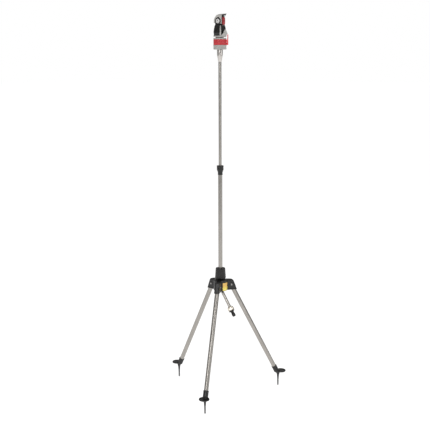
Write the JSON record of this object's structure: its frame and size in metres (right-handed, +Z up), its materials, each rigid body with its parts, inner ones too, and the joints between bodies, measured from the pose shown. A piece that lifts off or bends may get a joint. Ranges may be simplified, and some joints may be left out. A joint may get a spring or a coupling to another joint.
{
  "type": "tripod sprinkler",
  "caption": "Telescopic tripod lawn sprinkler: folding spiked legs on a hub, clamped two-stage mast, angled hose inlet, geared turret head with limit rings and tilting hood.",
  "frame": {"origin": "on the ground, at the middle of the footprint's box", "axes": "+Z up along the mast; -Y toward the front leg, +X to the right of it"},
  "size_m": [0.6606, 0.5795, 2.0303],
  "materials": {
    "satin_aluminium": "satin drawn tube",
    "black_plastic": "satin moulded",
    "rubber": "matt",
    "acetal": "satin",
    "yellow_label": "satin film",
    "steel": "bright",
    "nickel": "bright plated",
    "grey_plastic": "satin moulded",
    "light_grey_plastic": "satin moulded",
    "red_plastic": "satin moulded"
  },
  "bodies": {
    "hub": {"hub_body": "black_plastic", "hub_collet": "acetal", "hub_label": "yellow_label", "leg_rivet_front": "steel", "leg_rivet_right": "steel", "leg_rivet_left": "steel"},
    "leg_front": {"leg_tube_front": "satin_aluminium", "leg_plug_front": "black_plastic", "foot_spike_front": "black_plastic"},
    "leg_right": {"leg_tube_right": "satin_aluminium", "leg_plug_right": "black_plastic", "foot_spike_right": "black_plastic"},
    "leg_left": {"leg_tube_left": "satin_aluminium", "leg_plug_left": "black_plastic", "foot_spike_left": "black_plastic"},
    "hub_nut": {"hub_clamp_nut": "black_plastic"},
    "mast_lower": {"mast_lower_tube": "satin_aluminium", "mast_clamp_body": "black_plastic", "mast_collet": "acetal", "inlet_pipe": "satin_aluminium", "inlet_seal": "rubber"},
    "mast_nut": {"mast_clamp_nut": "black_plastic"},
    "hose_coupling": {"hose_coupling_nut": "nickel", "hose_washer": "rubber", "quick_connector": "black_plastic", "connector_o_ring": "rubber"},
    "mast_upper": {"mast_upper_tube": "satin_aluminium", "mast_slide_seal": "rubber", "head_adapter": "nickel", "base_housing": "grey_plastic", "drive_cover": "grey_plastic", "turret_seal": "rubber", "inlet_filter": "steel", "stator_plate": "acetal", "turbine_pin": "steel", "reduction_gear_pin": "steel"},
    "turbine": {"turbine_rotor": "acetal"},
    "reduction": {"reduction_gear": "acetal"},
    "turret": {"turret_shaft": "steel", "output_gear": "acetal", "turret_cup": "grey_plastic", "turret_body": "black_plastic", "nozzle": "red_plastic", "trip_lever_pin": "steel"},
    "ring_lower": {"limit_ring_lower": "red_plastic"},
    "ring_upper": {"limit_ring_upper": "red_plastic"},
    "lever": {"trip_lever": "red_plastic"},
    "hood": {"deflector_hood": "grey_plastic", "deflector_blade": "black_plastic", "hood_cheek_left": "black_plastic", "hood_cheek_right": "black_plastic", "hood_knob_left": "light_grey_plastic", "hood_knob_right": "light_grey_plastic", "hood_screw_left": "steel", "hood_screw_right": "steel"}
  },
  "joints": [
    {"name": "leg_front_fold", "type": "hinge", "parent": "hub", "child": "leg_front", "pos_m": [0, 0.02927, 0.603], "axis": [1, 0, 0], "range_deg": [0, 27]},
    {"name": "leg_right_fold", "type": "hinge", "parent": "hub", "child": "leg_right", "pos_m": [0.05023, 0.11628, 0.603], "axis": [-0.5, 0.866, 0], "range_deg": [0, 27]},
    {"name": "leg_left_fold", "type": "hinge", "parent": "hub", "child": "leg_left", "pos_m": [-0.05023, 0.11628, 0.603], "axis": [-0.5, -0.866, 0], "range_deg": [0, 27]},
    {"name": "mast_swivel", "type": "hinge", "parent": "hub", "child": "mast_lower", "pos_m": [0, 0.08728, 0.65], "axis": [0, 0, 1], "range_deg": [-20, 20]},
    {"name": "hub_nut_turn", "type": "hinge", "parent": "hub", "child": "hub_nut", "pos_m": [0, 0.08728, 0.67], "axis": [0, 0, 1], "range_deg": [0, 180]},
    {"name": "mast_extend", "type": "slide", "parent": "mast_lower", "child": "mast_upper", "axis": [0, 0, 1], "range_m": [-0.44, 0]},
    {"name": "mast_nut_turn", "type": "hinge", "parent": "mast_lower", "child": "mast_nut", "pos_m": [0, 0.08728, 1.235], "axis": [0, 0, 1], "range_deg": [0, 180]},
    {"name": "hose_nut_spin", "type": "hinge", "parent": "mast_lower", "child": "hose_coupling", "pos_m": [0, 0.08728, 0.5832], "axis": [0.5236, -0.3023, -0.7965], "continuous": true},
    {"name": "turret_spin", "type": "hinge", "parent": "mast_upper", "child": "turret", "pos_m": [0, 0.08728, 1.9], "axis": [0, 0, 1], "continuous": true},
    {"name": "reduction_spin", "type": "hinge", "parent": "mast_upper", "child": "reduction", "pos_m": [-0.01247, 0.09448, 1.88], "axis": [0, 0, 1], "continuous": true},
    {"name": "turbine_spin", "type": "hinge", "parent": "mast_upper", "child": "turbine", "pos_m": [0, 0.08728, 1.873], "axis": [0, 0, 1], "continuous": true},
    {"name": "limit_ring_lower_turn", "type": "hinge", "parent": "mast_upper", "child": "ring_lower", "pos_m": [0, 0.08728, 1.88], "axis": [0, 0, 1], "range_deg": [0, 90]},
    {"name": "limit_ring_upper_turn", "type": "hinge", "parent": "mast_upper", "child": "ring_upper", "pos_m": [0, 0.08728, 1.895], "axis": [0, 0, 1], "range_deg": [-100, 0]},
    {"name": "trip_lever_swing", "type": "hinge", "parent": "turret", "child": "lever", "pos_m": [-0.02257, 0.09804, 1.912], "axis": [0, 0, 1], "range_deg": [0, 40]},
    {"name": "hood_tilt", "type": "hinge", "parent": "turret", "child": "hood", "pos_m": [-0.0018, 0.08814, 1.9945], "axis": [0.4305, 0.9026, 0], "range_deg": [0, 15]}
  ],
  "couplings": [
    {"joint": "reduction_spin", "follows": "turret_spin", "ratio": -3},
    {"joint": "turbine_spin", "follows": "turret_spin", "ratio": 9}
  ]
}
